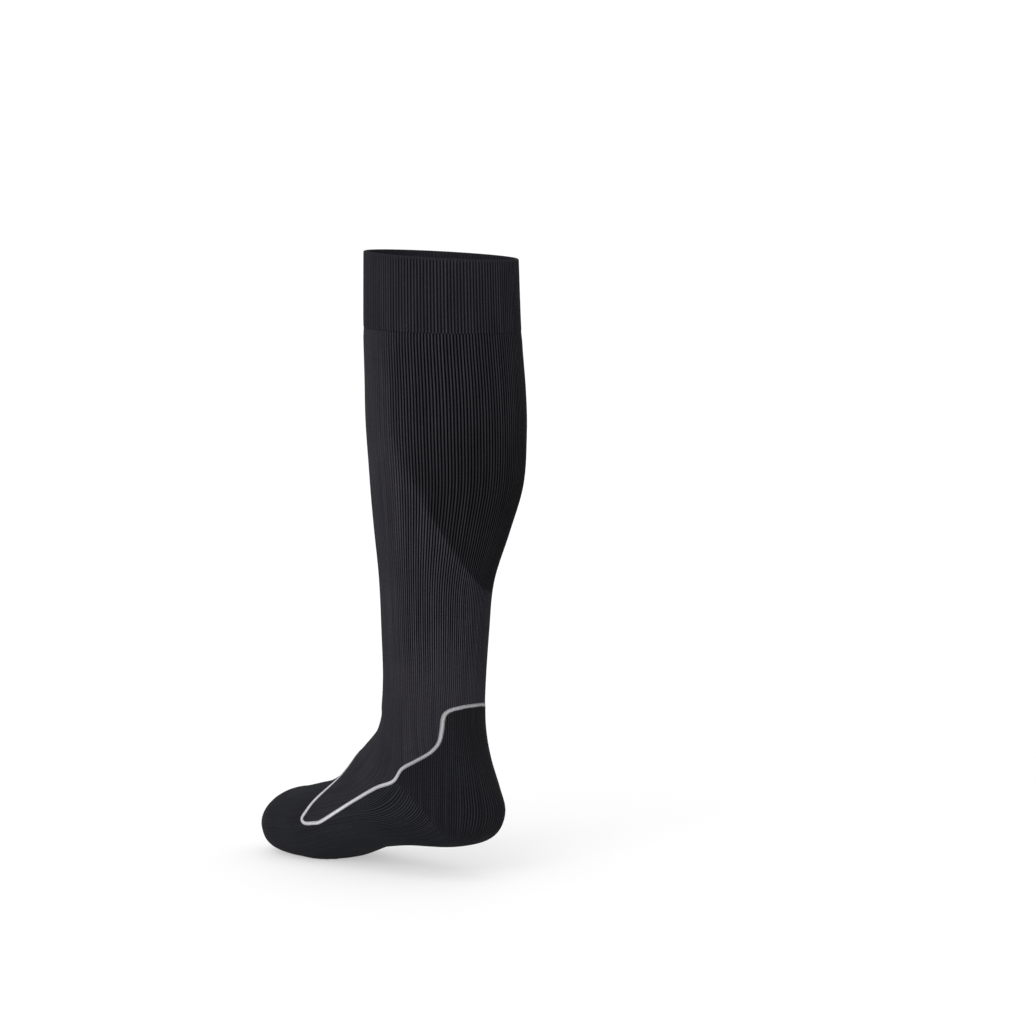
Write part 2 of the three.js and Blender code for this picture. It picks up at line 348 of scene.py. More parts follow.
class StockingColours(PropertyGroup):
    """Yarn colours of the zones."""

    band: FloatVectorProperty(
        name="Top band", description="Charcoal of the top band",
        subtype="COLOR", size=3, min=0.0, max=1.0, default=(0.0113, 0.0108, 0.0135),
    )
    panel: FloatVectorProperty(
        name="Calf panel", description="Near black of the calf panel",
        subtype="COLOR", size=3, min=0.0, max=1.0, default=(0.0061, 0.0061, 0.0069),
    )
    leg: FloatVectorProperty(
        name="Leg", description="Warm charcoal of the leg and instep",
        subtype="COLOR", size=3, min=0.0, max=1.0, default=(0.0169, 0.0160, 0.0197),
    )
    line: FloatVectorProperty(
        name="Contour line", description="Light grey of the contour line",
        subtype="COLOR", size=3, min=0.0, max=1.0, default=(0.260, 0.254, 0.264),
    )
    heel_line: FloatVectorProperty(
        name="Line round the heel", description="Darker grey of the contour line round the heel",
        subtype="COLOR", size=3, min=0.0, max=1.0, default=(0.151, 0.148, 0.153),
    )
    foot: FloatVectorProperty(
        name="Foot", description="Blue black of the heel, sole and toe",
        subtype="COLOR", size=3, min=0.0, max=1.0, default=(0.0100, 0.0103, 0.0127),
    )


class StudioSettings(PropertyGroup):
    """Camera, floor and lights."""

    azimuth: FloatProperty(
        name="Azimuth",
        description="Camera's turn about the leg, from the toes toward the outer side",
        default=math.radians(132.5), subtype="ANGLE", unit="ROTATION",
    )
    elevation: FloatProperty(
        name="Elevation", description="Camera's height as an angle",
        default=math.radians(5.65), subtype="ANGLE", unit="ROTATION",
    )
    distance: FloatProperty(
        name="Distance", description="Camera's distance from the shin",
        default=4.4, min=1.0, max=20.0, unit="LENGTH",
    )
    frame_width: FloatProperty(
        name="Frame width", description="Width of the picture at the shin",
        default=0.72, min=0.2, max=3.0, unit="LENGTH",
    )
    backdrop: FloatVectorProperty(
        name="Backdrop", description="Colour of the surroundings",
        subtype="COLOR", size=3, min=0.0, max=1.0, default=(1.0, 1.0, 1.0),
    )
    floor: FloatVectorProperty(
        name="Floor", description="Colour of the pale floor",
        subtype="COLOR", size=3, min=0.0, max=1.0, default=(0.42, 0.42, 0.42),
    )


# The form


def toe_section(step):
    """One section of the toe cap: the toe base shrinks toward the tip in a rounded profile."""
    front_y, front_z, back_y, back_z, middle, outer, inner, sole, rise = SECTIONS["toe_base"]
    along = math.sin(step / (TOE_STEPS + 1) * math.pi / 2)
    width = math.sqrt(max(1 - along**TOE_ROUNDNESS, 0))
    x = middle + (TOE_TIP[0] - middle) * along
    y = (front_y + back_y) / 2 * (1 - along) + TOE_TIP[1] * along
    drop = along**TOE_DROP
    z = (front_z + back_z) / 2 * (1 - drop) + TOE_TIP[2] * drop
    half_y = (front_y - back_y) / 2 * width
    half_z = (front_z - back_z) / 2 * width
    ends = (y + half_y, z + half_z, y - half_y, z - half_z)
    return (*ends, x, outer * width, inner * width, sole, rise)


ROWS = np.array([*SECTIONS.values(), *(toe_section(step + 1) for step in range(TOE_STEPS))], float)
LAST = len(ROWS) - 1
TIP = LAST + 1


def station_of(name, past=0.0):
    """A section's place in the table, or a share of the way past it toward the next one."""
    return SECTION_NAMES.index(name) + past


def blend(before, first, second, after, t):
    """A smooth way from first to second, heading as their neighbours do."""
    slope_in, slope_out = (second - before) / 2, (after - first) / 2
    return (
        (2 * t**3 - 3 * t**2 + 1) * first + (t**3 - 2 * t**2 + t) * slope_in
        + (3 * t**2 - 2 * t**3) * second + (t**3 - t**2) * slope_out
    )


def sections_at(stations):
    """The section at each station, blended smoothly between the table's rows."""
    ends = np.vstack([2 * ROWS[0] - ROWS[1], ROWS, 2 * ROWS[-1] - ROWS[-2]])
    place = np.clip(np.floor(stations).astype(int), 0, LAST - 1)
    t = (np.minimum(stations, LAST) - place)[:, None]
    blended = blend(*(ends[place + shift] for shift in range(4)), t)
    for index in np.flatnonzero(stations > LAST):
        blended[index] = toe_section(stations[index] - station_of("toe_base"))
    return blended


def face_points(stations, angles):
    """Points of the cloth's outer face; angle 0 is the front, a quarter turn the outer side."""
    section = np.moveaxis(sections_at(stations)[:, None, :], -1, 0)
    front_y, front_z, back_y, back_z, middle, outer, inner, sole, rise = section
    front, side = np.cos(angles)[None, :], np.sin(angles)[None, :]
    power = np.where(front < 0, 2 / sole, 1.0)
    along = np.sign(front) * np.abs(front) ** power
    across = np.sign(side) * np.abs(side) ** power
    x = middle + across * np.where(side > 0, outer, inner)
    y = (front_y + back_y) / 2 + along * (front_y - back_y) / 2
    z = (front_z + back_z) / 2 + along * (front_z - back_z) / 2 + across * rise
    return np.stack([x, y, np.maximum(z, 0.0)], axis=-1)


def face_directions(stations, angles):
    """Outward directions of the outer face."""
    before = np.maximum(stations - SLOPE_STEP, 0)
    after = np.minimum(stations + SLOPE_STEP, TIP)
    down = face_points(after, angles) - face_points(before, angles)
    to_left = face_points(stations, angles - SLOPE_STEP)
    around = face_points(stations, angles + SLOPE_STEP) - to_left
    square = np.cross(down, around)
    return square / np.maximum(np.linalg.norm(square, axis=-1, keepdims=True), SMALLEST)


def even_stations(start, end, spacing, turns=QUARTER_TURNS):
    """Stations from start to end whose rings lie about one spacing apart at their widest."""
    fine = np.linspace(start, end, FINE_STATIONS)
    lines = face_points(fine, np.array(turns) * 2 * math.pi)
    steps = np.linalg.norm(np.diff(lines, axis=0), axis=-1).max(axis=1)
    length = np.concatenate([[0], np.cumsum(steps)])
    count = max(2, int(round(length[-1] / spacing)) + 1)
    return np.interp(np.linspace(0, length[-1], count), length, fine)


# Edges between zones


def smooth_edge(corners):
    """A smooth line through the corners of an edge, in side view."""
    corners = np.array(corners, float)
    steps = np.linspace(0, 1, EDGE_STEPS, endpoint=False)[:, None]
    line = []
    for index in range(len(corners) - 1):
        before, after = corners[max(index - 1, 0)], corners[min(index + 2, len(corners) - 1)]
        line.append(blend(before, corners[index], corners[index + 1], after, steps))
    return np.vstack([*line, corners[-1:]])


def side_of_edge(points, edge, corners):
    """How far points in side view lie inside an outline, and how far along its edge."""
    line = smooth_edge(edge)
    outline = np.vstack([line, corners])
    starts, ends = outline, np.roll(outline, -1, axis=0)
    spans = ends - starts
    lengths = np.linalg.norm(spans, axis=1)
    before = np.concatenate([[0], np.cumsum(lengths)[:-1]])
    nearest = np.full(len(points), np.inf)
    along = np.zeros(len(points))
    inside = np.zeros(len(points), bool)
    for start, span, length, reach in zip(starts, spans, lengths, before):
        offset = points - start
        share = np.clip(offset @ span / length**2, 0, 1)
        gap = np.linalg.norm(offset - share[:, None] * span, axis=1)
        closer = gap < nearest
        nearest[closer] = gap[closer]
        along[closer] = reach + share[closer] * length
        if span[1]:
            level = offset[:, 1] / span[1]
            inside ^= (level >= 0) & (level < 1) & (offset[:, 0] < level * span[0])
    return np.where(inside, nearest, -nearest), along


def smooth(low, high, value):
    """0 below low, 1 above high, and an even S between."""
    t = np.clip((value - low) / (high - low), 0, 1)
    return t * t * (3 - 2 * t)


def foot_side(points):
    """Distance past the foot edge into the foot, and along that edge."""
    return side_of_edge(points[:, 1:], FOOT_EDGE, FOOT_CORNERS)


def panel_side(points):
    """Distance past the panel edge into the calf panel."""
    toward_heel = points[:, 1] * math.cos(PANEL_TURN) - points[:, 0] * math.sin(PANEL_TURN)
    view = np.stack([toward_heel, points[:, 2]], axis=1)
    return side_of_edge(view, PANEL_EDGE, PANEL_CORNERS)[0]


def pocket_side(points):
    """Distance past the pocket edge into the heel pocket."""
    return side_of_edge(points[:, 1:], POCKET_EDGE, POCKET_CORNERS)[0]


# Cloth


class Knit:
    """A grid of stitches on the worn form, with values for each point."""

    def __init__(self, stations, ribs, points_to_rib, from_toe=False):
        columns = ribs * points_to_rib
        angles = np.arange(columns) / columns * 2 * math.pi
        self.shape = (len(stations), columns + 1)
        rings = face_points(stations, angles)
        out = face_directions(stations, angles)
        if stations[-1] >= TIP:
            rings[-1] = TOE_TIP
            out[-1] = (0, -1, 0)
        steps = np.linalg.norm(np.diff(rings, axis=0), axis=-1)
        length = np.vstack([np.zeros(columns), np.cumsum(steps, axis=0)])
        if from_toe:
            length = length[-1:] - length
        self.points = self.close(rings)
        self.out = self.close(out)
        self.length = self.close(length[..., None])[:, 0]
        self.rib = np.tile(np.arange(columns + 1) / points_to_rib, len(stations))
        self.turn = self.rib / ribs
        self.station = np.repeat(stations, columns + 1)
        self.height = self.points[:, 2]

    def close(self, rings):
        """Repeats the first column as the last one, so that the rib count runs on."""
        joined = np.concatenate([rings, rings[:, :1]], axis=1)
        return joined.reshape(-1, rings.shape[-1])

    def groove(self):
        """1 at the bottom of each groove between ribs, 0 on the ribs."""
        from_groove = np.abs(self.rib - np.round(self.rib))
        return np.clip(1 - from_groove / GROOVE_REACH, 0, 1) ** GROOVE_POWER

    def corners(self, values, keep):
        """The kept triangles, each as three rows of values."""
        rows, columns = self.shape
        first = (np.arange(rows - 1)[:, None] * columns + np.arange(columns - 1)).ravel()
        a, b, c, d = first, first + 1, first + columns, first + columns + 1
        triangles = np.concatenate([np.stack([a, c, b], 1), np.stack([b, c, d], 1)])
        triangles = triangles[keep[triangles].any(axis=1)]
        return values[triangles]


def cut(corners, column, limit, above=True):
    """The part of the triangles whose value in one column is above, or below, a limit."""
    side = corners[..., column] - limit if above else limit - corners[..., column]
    clear = CLEAR_OF_CUT if above else -CLEAR_OF_CUT
    side = np.where(np.abs(side) < CLEAR_OF_CUT, clear, side)
    inside = side > 0
    count = inside.sum(axis=1)
    kept = [corners[count == 3]]
    for number in (1, 2):
        chosen = count == number
        part, values = corners[chosen], side[chosen]
        odd = inside[chosen] if number == 1 else ~inside[chosen]
        order = (odd.argmax(axis=1)[:, None] + np.arange(3)) % 3
        part = np.take_along_axis(part, order[..., None], axis=1)
        values = np.take_along_axis(values, order, axis=1)
        crossings = []
        for other in (1, 2):
            near, far = (0, other) if number == 1 else (other, 0)
            share = values[:, near] / (values[:, near] - values[:, far])
            crossings.append(part[:, near] + (part[:, far] - part[:, near]) * share[:, None])
        if number == 1:
            kept.append(np.stack([part[:, 0], *crossings], axis=1))
        else:
            kept.append(np.stack([crossings[0], part[:, 1], part[:, 2]], axis=1))
            kept.append(np.stack([crossings[0], part[:, 2], crossings[1]], axis=1))
    return np.concatenate(kept)


# Columns of the values that each corner carries
POINT, OUT = slice(0, 3), slice(3, 6)
RIB, LENGTH, TONE, DEPTH, FACE, BACK = range(6, 12)
FOOT_SIDE, PANEL_SIDE, POCKET_SIDE = range(12, 15)
WIDTH = 15


def gather(knit, **columns):
    """All values of a knit's points in one table."""
    values = np.zeros((len(knit.points), WIDTH))
    values[:, POINT] = knit.points
    values[:, OUT] = knit.out
    values[:, RIB] = knit.rib
    values[:, LENGTH] = knit.length
    places = {
        "tone": TONE, "depth": DEPTH, "face": FACE, "back": BACK,
        "foot_side": FOOT_SIDE, "panel_side": PANEL_SIDE, "pocket_side": POCKET_SIDE,
    }
    for name, value in columns.items():
        values[:, places[name]] = value
    return values


def open_edges(triangles):
    """Edges that only one triangle uses, in that triangle's direction."""
    edges = np.concatenate([triangles[:, [0, 1]], triangles[:, [1, 2]], triangles[:, [2, 0]]])
    top = triangles.max() + 1
    forward = edges[:, 0] * top + edges[:, 1]
    backward = edges[:, 1] * top + edges[:, 0]
    return edges[~np.isin(forward, backward)]


def shell(name, corners, material):
    """A piece of cloth with its outer and inner face, closed along every edge."""
    flat = corners.reshape(-1, WIDTH)
    keys = np.round(flat[:, POINT] * WELDS_TO_MILLIMETRE).astype(np.int64)
    _, first, welded = np.unique(keys, axis=0, return_index=True, return_inverse=True)
    points = flat[first]
    triangles = welded.reshape(-1, 3)
    whole = (
        (triangles[:, 0] != triangles[:, 1])
        & (triangles[:, 1] != triangles[:, 2])
        & (triangles[:, 2] != triangles[:, 0])
    )
    triangles = triangles[whole]
    loops = flat.reshape(-1, 3, WIDTH)[whole][..., [RIB, LENGTH]]
    count = len(points)
    edges = open_edges(triangles)
    start, end = edges[:, 0], edges[:, 1]
    rim = np.concatenate([
        np.stack([end, start, start + count], 1),
        np.stack([end, start + count, end + count], 1),
    ])
    faces = np.concatenate([triangles, triangles[:, ::-1] + count, rim])
    rim_loops = points[rim % count][..., [RIB, LENGTH]]
    loops = np.concatenate([loops, loops[:, ::-1], rim_loops]).reshape(-1, 2)
    outer = points[:, POINT] + points[:, OUT] * points[:, FACE, None]
    inner = points[:, POINT] + points[:, OUT] * points[:, BACK, None]
    outer[:, 2] = np.maximum(outer[:, 2], 0)
    places = np.vstack([outer, inner]) - (0, 0, GRIP_HEIGHT)
    mesh = bpy.data.meshes.new(name)
    mesh.from_pydata((places * MILLIMETRE).tolist(), [], faces.tolist())
    mesh.uv_layers.new(name="knit").uv.foreach_set("vector", loops.astype(np.float32).ravel())
    # groove sets the strength of the painted groove shade; tone blends a piece's two colours, and
    # on panel and instep it also carries painted light and shade
    for attribute, column in (("tone", TONE), ("groove", DEPTH)):
        layer = mesh.attributes.new(attribute, "FLOAT", "POINT")
        layer.data.foreach_set("value", np.tile(points[:, column], 2).astype(np.float32))
    mesh.shade_smooth()
    mesh.set_sharp_from_angle(angle=SHARP_ANGLE)
    mesh.materials.append(material)
    piece = bpy.data.objects.new(name, mesh)
    bpy.context.scene.collection.objects.link(piece)
    return piece


# Finishes


class Finish:
    """A material, built from small sums."""

    def __init__(self, name):
        self.material = bpy.data.materials.new(name)
        self.material.use_nodes = True
        self.tree = self.material.node_tree
        self.shader = self.tree.nodes["Principled BSDF"]

    def node(self, kind, inputs=(), **settings):
        """A node with its settings, whose inputs are values or other nodes' outputs."""
        made = self.tree.nodes.new(kind)
        for name, value in settings.items():
            setattr(made, name, value)
        for key, value in dict(inputs).items():
            self.feed(made.inputs[key], value)
        return made

    def feed(self, socket, value):
        """Sets a socket, or links it."""
        if isinstance(value, bpy.types.NodeSocket):
            self.tree.links.new(value, socket)
        else:
            socket.default_value = value

    def sum(self, operation, *values):
        """The output of one sum."""
        return self.node("ShaderNodeMath", enumerate(values), operation=operation).outputs[0]

    def ramp(self, value, from_low, from_high, to_low, to_high):
        """A value moved evenly and smoothly from one range to another."""
        inputs = {
            "Value": value, "From Min": from_low, "From Max": from_high,
            "To Min": to_low, "To Max": to_high,
        }
        made = self.node("ShaderNodeMapRange", inputs, interpolation_type="SMOOTHSTEP")
        return made.outputs["Result"]

    def mix(self, share, first, second):
        """A colour between two colours."""
        made = self.node("ShaderNodeMix", data_type="RGBA")
        self.feed(made.inputs["Factor"], share)
        colour_inputs = [socket for socket in made.inputs if socket.type == "RGBA"]
        for socket, colour in zip(colour_inputs, (first, second)):
            self.feed(socket, colour)
        return next(socket for socket in made.outputs if socket.type == "RGBA")

    def noise(self, place, scale, detail=2.0):
        """Soft noise at a place."""
        inputs = {"Vector": place, "Scale": scale, "Detail": detail}
        return self.node("ShaderNodeTexNoise", inputs).outputs["Fac"]

    def spread(self, noise, to_low, to_high):
        """Noise moved to a range."""
        return self.ramp(noise, *NOISE_SPREAD, to_low, to_high)

    def value_of(self, attribute):
        """A value that each point of the cloth carries."""
        made = self.node("ShaderNodeAttribute", attribute_name=attribute)
        return made.outputs["Fac"]


def opaque(colour):
    """A colour with full cover."""
    return (*colour, 1.0)


def knit_finish(name, colour, second):
    """Ribbed knit: painted shade in the grooves and between the loops, painted highlights on the
    ribs, rows of loops on the ribs, uneven yarn and a soft nap.

    The cloth's tone blends from the first colour to the second.
    """
    loop_height, painted_groove_shade_share, loop_depth, roughness, sheen = KNITS[name]
    finish = Finish(name)
    place = finish.node("ShaderNodeTexCoord").outputs["Object"]
    knit = finish.node("ShaderNodeUVMap", uv_map="knit").outputs["UV"]
    parts = finish.node("ShaderNodeSeparateXYZ", {"Vector": knit})
    rib, length = parts.outputs["X"], parts.outputs["Y"]
    groove, tone = finish.value_of("groove"), finish.value_of("tone")

    from_groove = finish.sum("PINGPONG", rib, 0.5)
    crest = finish.ramp(from_groove, *CREST, 0.0, 1.0)
    slant = finish.sum("MULTIPLY", from_groove, LOOP_SLANT)
    row = finish.sum("ADD", finish.sum("DIVIDE", length, loop_height), slant)
    loops = finish.sum("MULTIPLY", finish.sum("PINGPONG", row, 0.5), 2.0)
    stitches = finish.sum("MULTIPLY", finish.ramp(loops, *LOOP_ROUND, 0.0, 1.0), crest)

    stretched = finish.node(
        "ShaderNodeVectorMath", {0: knit, 1: STREAK_STRETCH}, operation="MULTIPLY"
    )
    streaks = finish.spread(finish.noise(stretched.outputs[0], 1.0, 1.0), *STREAK_LIGHT)
    patches = finish.spread(finish.noise(place, PATCH_SCALE), *PATCH_LIGHT)
    fibres = finish.spread(finish.noise(place, FIBRE_SCALE, 1.0), *FIBRE_LIGHT)
    shade = finish.sum("MULTIPLY", finish.sum("MULTIPLY", streaks, patches), fibres)
    # Painted shade: the grooves and the gaps between the loops are darkened in the colour
    in_groove = finish.sum("SUBTRACT", 1.0, crest)
    painted_groove_shade = finish.sum("MULTIPLY", finish.sum("MULTIPLY", in_groove, groove), painted_groove_shade_share)
    painted_shade_between_loops = finish.sum("MULTIPLY", finish.sum("SUBTRACT", 1.0, loops), LOOP_PAINTED_SHADE)
    light = finish.sum("SUBTRACT", finish.sum("SUBTRACT", 1.0, painted_groove_shade), painted_shade_between_loops)
    # Painted highlight on the ribs where the grooves are full
    crest_painted_highlight = finish.sum("ADD", finish.sum("MULTIPLY", groove, RIB_PAINTED_HIGHLIGHT), 1.0)
    shade = finish.sum("MULTIPLY", finish.sum("MULTIPLY", shade, light), crest_painted_highlight)
    base = finish.mix(tone, opaque(colour), opaque(second))
    coloured = finish.node("ShaderNodeVectorMath", operation="SCALE")
    finish.feed(coloured.inputs[0], base)
    finish.feed(coloured.inputs["Scale"], shade)
    finish.feed(finish.shader.inputs["Base Color"], coloured.outputs[0])

    nap = finish.noise(place, NAP_SCALE)
    fuzz = finish.node(
        "ShaderNodeBump", {"Height": nap, "Strength": NAP_STRENGTH, "Distance": NAP_DEPTH}
    )
    relief = finish.node("ShaderNodeBump", {
        "Height": stitches, "Strength": LOOP_STRENGTH, "Distance": loop_depth,
        "Normal": fuzz.outputs[0],
    })
    finish.feed(finish.shader.inputs["Normal"], relief.outputs[0])
    rough = finish.spread(nap, roughness - ROUGHNESS_SPREAD, roughness + ROUGHNESS_SPREAD)
    finish.feed(finish.shader.inputs["Roughness"], rough)
    finish.shader.inputs["Sheen Weight"].default_value = sheen
    finish.shader.inputs["Sheen Roughness"].default_value = SHEEN_ROUGHNESS
    finish.shader.inputs["Specular IOR Level"].default_value = YARN_SPECULAR
    return finish.material


def wear(piece, zone):
    """Hangs a piece under the root and hides the imported part of its zone."""
    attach(piece, "root")
    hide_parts(zone)


def in_millimetres(length):
    """A size property's value in millimetres."""
    return length / MILLIMETRE


def soft_shape(knit):
    """Slow unevenness of worn cloth, and shallow creases where the ankle bends."""
    turn = knit.turn * 2 * math.pi
    height, short, long = LEG_WAVES
    waves = height * np.sin(knit.length / short + 2 * np.cos(turn))
    waves *= np.sin(3 * turn + knit.length / long)
    at_front = smooth(*CREASE_FRONT, np.cos(turn))
    creases = np.zeros(len(knit.points))
    for middle, depth, lean in CREASES:
        level = knit.height - middle - lean * (1 - np.cos(turn))
        creases -= depth * np.exp(-((level / CREASE_WIDTH) ** 2)) * at_front
        fold = np.exp(-(((level - FOLD_ABOVE) / FOLD_WIDTH) ** 2))
        creases += FOLD_SHARE * depth * fold * at_front
    return waves + creases


def panel_tone(knit, panel):
    """0 in the leg's colour, 1 in the calf panel's.

    The change is crisp below the calf and slow above it. The panel is lighter toward the band,
    partly in its own yarn and partly by painted light, and lighter along its edge by painted
    shade that deepens toward its back, turned from the key light.
    """
    width = PANEL_CHANGE + PANEL_CHANGE_MORE * smooth(*PANEL_CHANGE_HEIGHTS, knit.height)
    change = smooth(-PANEL_CHANGE_OUT * width, PANEL_CHANGE_IN * width, panel)
    # Lighter toward the band: partly the yarn's own tone, partly painted light
    upper = 1 - PANEL_UPPER_YARN_AND_PAINTED_LIGHT * smooth(*PANEL_UPPER_YARN_AND_PAINTED_LIGHT_HEIGHTS, knit.height)
    # Painted shade, deepening from the panel's edge toward its back, turned from the key light
    inner = 1 - PANEL_BACK_PAINTED_SHADE + PANEL_BACK_PAINTED_SHADE * smooth(*PANEL_BACK_PAINTED_SHADE_REACH, panel)
    return change * upper * inner


def leg_groove(knit, tone):
    """Strength of the ribs: full on the calf, and fading toward shin, ankle and instep."""
    at_front = smooth(*LEG_FRONT, np.cos(knit.turn * 2 * math.pi))
    upper = LEG_LEAST + (1 - LEG_LEAST) * smooth(*LEG_FADE_HEIGHTS, knit.height)
    ribbed = upper * (1 - LEG_FRONT_LESS * at_front)
    return np.clip(ribbed + tone * (1 - ribbed), 0, 1)


def band_corners(sizes):
    """The top band, from its rolled rim to its foot."""
    rim, foot = station_of("rim"), station_of("band_foot")
    tall = SECTIONS["rim"][1] - SECTIONS["band_foot"][1]
    top, bottom = np.array(RIM_RINGS) / tall, foot - np.array(BAND_FOOT_RINGS) / tall
    between = even_stations(top[-1], foot, BAND_SPACING)[1:-1]
    stations = np.unique(rim + np.concatenate([top, between, bottom]))
    knit = Knit(stations, sizes.band_ribs, BAND_POINTS)
    near_rim = np.clip(RIM_ROUNDING - knit.length, 0, RIM_ROUNDING)
    rounding = RIM_ROUNDING - np.sqrt(RIM_ROUNDING**2 - near_rim**2)
    to_foot = knit.length.reshape(knit.shape)[-1].max() - knit.length
    turned_in = TURNED_IN * np.exp(-((to_foot / BAND_TURN_REACH) ** 2))
    at_front = smooth(*BAND_FRONT, np.cos(knit.turn * 2 * math.pi))
    ribbed = smooth(*BAND_RIM_REACH, knit.length) * (1 - BAND_FRONT_LESS * at_front)
    depth = in_millimetres(sizes.rib_depth) * ribbed
    values = gather(
        knit,
        tone=0.0,
        depth=BAND_LEAST + BAND_MORE * ribbed,
        face=-rounding - turned_in - depth * knit.groove(),
        back=rounding - in_millimetres(sizes.band_wall),
    )
    return knit.corners(values, np.ones(len(values), bool))


def leg_corners(sizes):
    """The leg with its calf panel, not yet cut apart."""
    start = station_of("band_foot") + SEAM / UNDER_BAND
    panel_narrow, panel_end = station_of("lower_calf"), station_of(*PANEL_END)
    bend, toes = station_of("heel_top"), station_of("toe_base")
    stretches = (
        even_stations(start, panel_narrow, LEG_SPACING),
        even_stations(panel_narrow, panel_end, PANEL_EDGE_SPACING),
        even_stations(panel_end, bend, LEG_SPACING),
        even_stations(bend, toes, INSTEP_SPACING, UPPER_TURNS),
    )
    knit = Knit(np.unique(np.concatenate(stretches)), sizes.leg_ribs, LEG_POINTS)
    panel = panel_side(knit.points)
    foot, _ = foot_side(knit.points)
    tone = panel_tone(knit, panel)
    groove = leg_groove(knit, tone)
    # Painted shade on the upward-facing instep
    tone += INSTEP_PAINTED_SHADE * smooth(*INSTEP_PAINTED_SHADE_HEIGHTS, knit.height)
    soft = soft_shape(knit)
    turned_in = TURNED_IN * np.exp(-((knit.length / LEG_TURN_REACH) ** 2))
    depth = in_millimetres(sizes.rib_depth) * groove
    values = gather(
        knit,
        tone=tone,
        depth=groove,
        face=soft - turned_in - depth * knit.groove(),
        back=soft * INSIDE_SHARE - in_millimetres(sizes.leg_wall),
        foot_side=foot,
        panel_side=panel,
    )
    half = in_millimetres(sizes.line_width) / 2 + SEAM
    corners = knit.corners(values, foot < -half)
    return cut(corners, FOOT_SIDE, -half, above=False)


def line_corners(sizes):
    """The contour line, domed across its width."""
    stations = even_stations(station_of(*FOOT_START), station_of("toe_base"), LINE_SPACING)
    knit = Knit(stations, sizes.leg_ribs, LEG_POINTS)
    side, along = foot_side(knit.points)
    half = in_millimetres(sizes.line_width) / 2
    across = np.clip(side / half, -1, 1)
    values = gather(
        knit,
        tone=smooth(*LINE_DARK_HEIGHTS, knit.height),
        depth=LINE_EDGE_PAINTED_SHADE,
        face=in_millimetres(sizes.line_height) * (1 - across**2),
        back=-in_millimetres(sizes.leg_wall),
        foot_side=side,
    )
    # Ribs run across the line, so that the painted groove shade darkens its two edges
    values[:, RIB] = 0.5 + 0.5 * across
    values[:, LENGTH] = along
    corners = cut(knit.corners(values, np.abs(side) < half + LINE_SPARE), FOOT_SIDE, -half)
    return cut(corners, FOOT_SIDE, half, above=False)


def foot_corners(sizes):
    """The foot, whose stitches run along it, with upright ones in the heel pocket."""
    stations = even_stations(station_of(*FOOT_START), TIP, FOOT_SPACING)
    knit = Knit(stations, sizes.foot_wales, FOOT_POINTS, from_toe=True)
    side, _ = foot_side(knit.points)
    pocket = pocket_side(knit.points)
    turn = knit.turn * 2 * math.pi
    along, up = knit.points[:, 1], knit.height
    toe = smooth(*TOE_ALONG, along)
    gore = smooth(*GORE_ALONG, along) * smooth(*GORE_TOP, up) * smooth(*GORE_BOTTOM, up)
    ahead = PLAIN_GROOVE + GORE_GROOVE * gore - TOE_LESS * toe
    upright = POCKET_PAINTED_GROOVE_SHADE * smooth(*POCKET_BOTTOM, up)
    in_pocket = smooth(-POCKET_BLEND, POCKET_BLEND, pocket)
    cushion = CUSHION * smooth(*CUSHION_BACK, -np.cos(turn)) * (1 - toe)
    height, short, long = FOOT_WAVES
    waves = height * np.sin(knit.length / short + turn) * np.sin(2 * turn + knit.length / long)
    from_seam = knit.station - station_of("toe_base") - TOE_SEAM_PLACE
    seam = -TOE_SEAM_DEPTH * np.exp(-((from_seam / TOE_SEAM_WIDTH) ** 2))
    depth = in_millimetres(sizes.rib_depth) * ahead * (1 - in_pocket)
    values = gather(
        knit,
        tone=POCKET_DARKER * in_pocket,
        depth=ahead * (1 - in_pocket) + upright * in_pocket,
        face=cushion + waves + seam - depth * knit.groove(),
        back=waves * INSIDE_SHARE - in_millimetres(sizes.foot_wall),
        foot_side=side,
        pocket_side=pocket,
    )
    values[:, FACE] *= smooth(TIP, TIP - TIP_FADE, knit.station)
    half = in_millimetres(sizes.line_width) / 2 + SEAM
    corners = cut(knit.corners(values, side > half), FOOT_SIDE, half)
    heel = cut(corners, POCKET_SIDE, 0)
    aside, behind = heel[..., 0] - POCKET_MIDDLE[0], heel[..., 1] - POCKET_MIDDLE[1]
    # The heel's upright ribs: only the painted groove shade draws them, with no depth in the cloth
    heel[..., RIB] = np.arctan2(aside, behind) / (2 * math.pi) * sizes.pocket_wales
    heel[..., LENGTH] = -heel[..., 2]
    return np.concatenate([cut(corners, POCKET_SIDE, 0, above=False), heel])


# Operators


class STOCKING_OT_top_band(Operator):
    """Knit the double ribbed band under the knee"""

    bl_idname = "stocking.top_band"
    bl_label = "Top band"

    def execute(self, context):
        sizes, colours = context.scene.stocking_sizes, context.scene.stocking_colours
        finish = knit_finish("band_knit", colours.band, colours.band)
        piece = shell("ribbed_top_band", band_corners(sizes), finish)
        wear(piece, "top_band")
        return {"FINISHED"}


class STOCKING_OT_calf_panel(Operator):
    """Knit the dense dark panel round the calf"""

    bl_idname = "stocking.calf_panel"
    bl_label = "Calf panel"

    def execute(self, context):
        sizes, colours = context.scene.stocking_sizes, context.scene.stocking_colours
        corners = cut(leg_corners(sizes), PANEL_SIDE, SEAM)
        finish = knit_finish("panel_knit", colours.leg, colours.panel)
        piece = shell("dense_calf_panel", corners, finish)
        wear(piece, "calf_panel")
        return {"FINISHED"}


